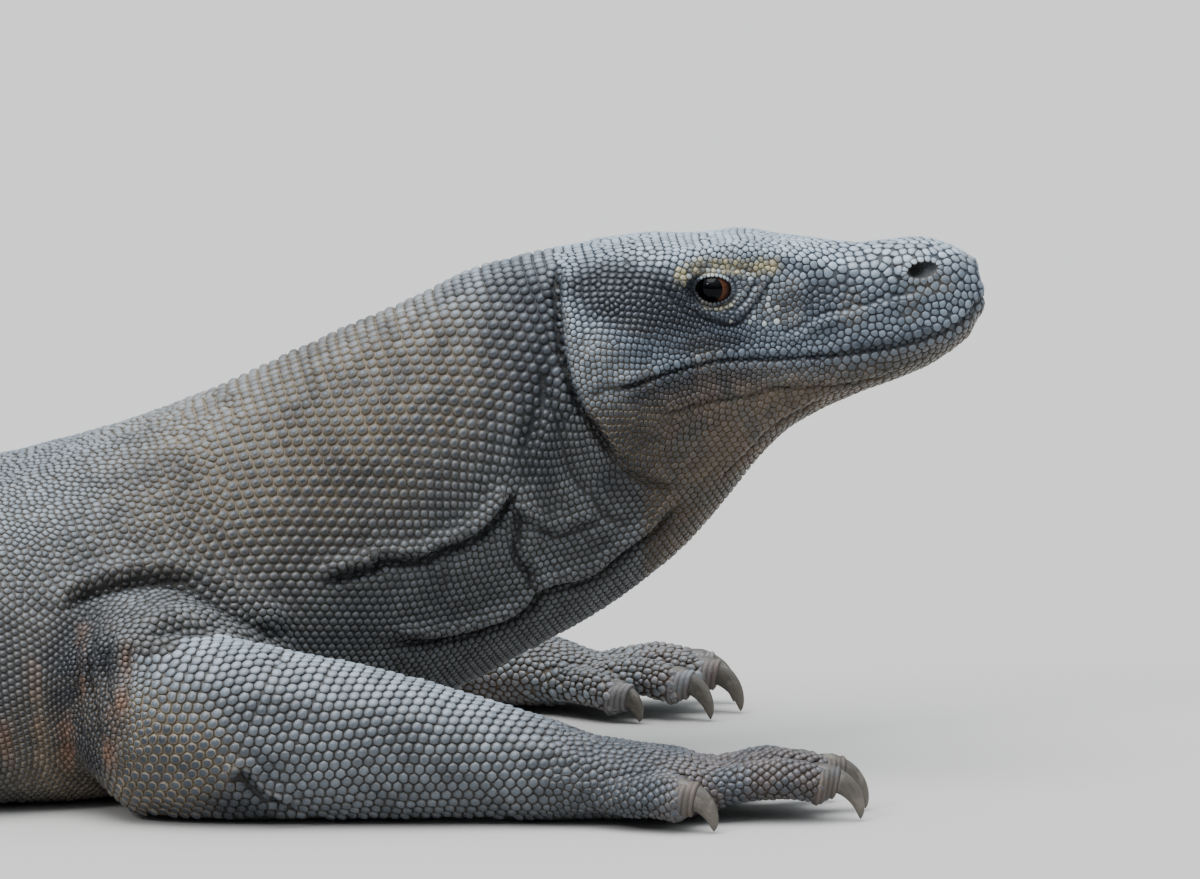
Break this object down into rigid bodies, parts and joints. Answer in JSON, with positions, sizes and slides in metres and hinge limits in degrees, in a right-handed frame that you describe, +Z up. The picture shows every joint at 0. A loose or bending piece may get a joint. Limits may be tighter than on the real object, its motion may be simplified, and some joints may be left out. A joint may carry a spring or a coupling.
{
  "type": "komodo dragon, lying with its head raised",
  "caption": "Life-size still model of a Komodo dragon resting on its belly, forelegs stretched ahead, head and neck raised and turned straight forward, mouth shut, tail curved behind.",
  "frame": {"origin": "on the floor, in the middle of the flat that the belly rests on", "axes": "+X towards the nose, +Y to the animal's left, +Z up"},
  "size_m": [2.4233, 0.8304, 0.277],
  "materials": {
    "hide": "matt scaly hide, slate grey-brown, bluish on the head and forelegs",
    "claw": "satin grey-brown horn",
    "eye": "wet gloss, dark brown to black"
  },
  "bodies": {
    "root": {"belly": "hide", "chest": "hide", "eye_left": "eye", "eye_right": "eye", "foot_left": "hide", "foot_left_claw_1": "claw", "foot_left_claw_2": "claw", "foot_left_claw_3": "claw", "foot_left_claw_4": "claw", "foot_left_claw_5": "claw", "foot_right": "hide", "foot_right_claw_1": "claw", "foot_right_claw_2": "claw", "foot_right_claw_3": "claw", "foot_right_claw_4": "claw", "foot_right_claw_5": "claw", "forearm_left": "hide", "forearm_right": "hide", "hand_left": "hide", "hand_left_claw_1": "claw", "hand_left_claw_2": "claw", "hand_left_claw_3": "claw", "hand_left_claw_4": "claw", "hand_left_claw_5": "claw", "hand_right": "hide", "hand_right_claw_1": "claw", "hand_right_claw_2": "claw", "hand_right_claw_3": "claw", "hand_right_claw_4": "claw", "hand_right_claw_5": "claw", "head": "hide", "lower_jaw": "hide", "neck_front": "hide", "neck_rear": "hide", "pelvis": "hide", "shank_left": "hide", "shank_right": "hide", "tail_middle": "hide", "tail_rear": "hide", "tail_root": "hide", "tail_tip": "hide", "thigh_left": "hide", "thigh_right": "hide", "upper_arm_left": "hide", "upper_arm_right": "hide"}
  },
  "joints": []
}
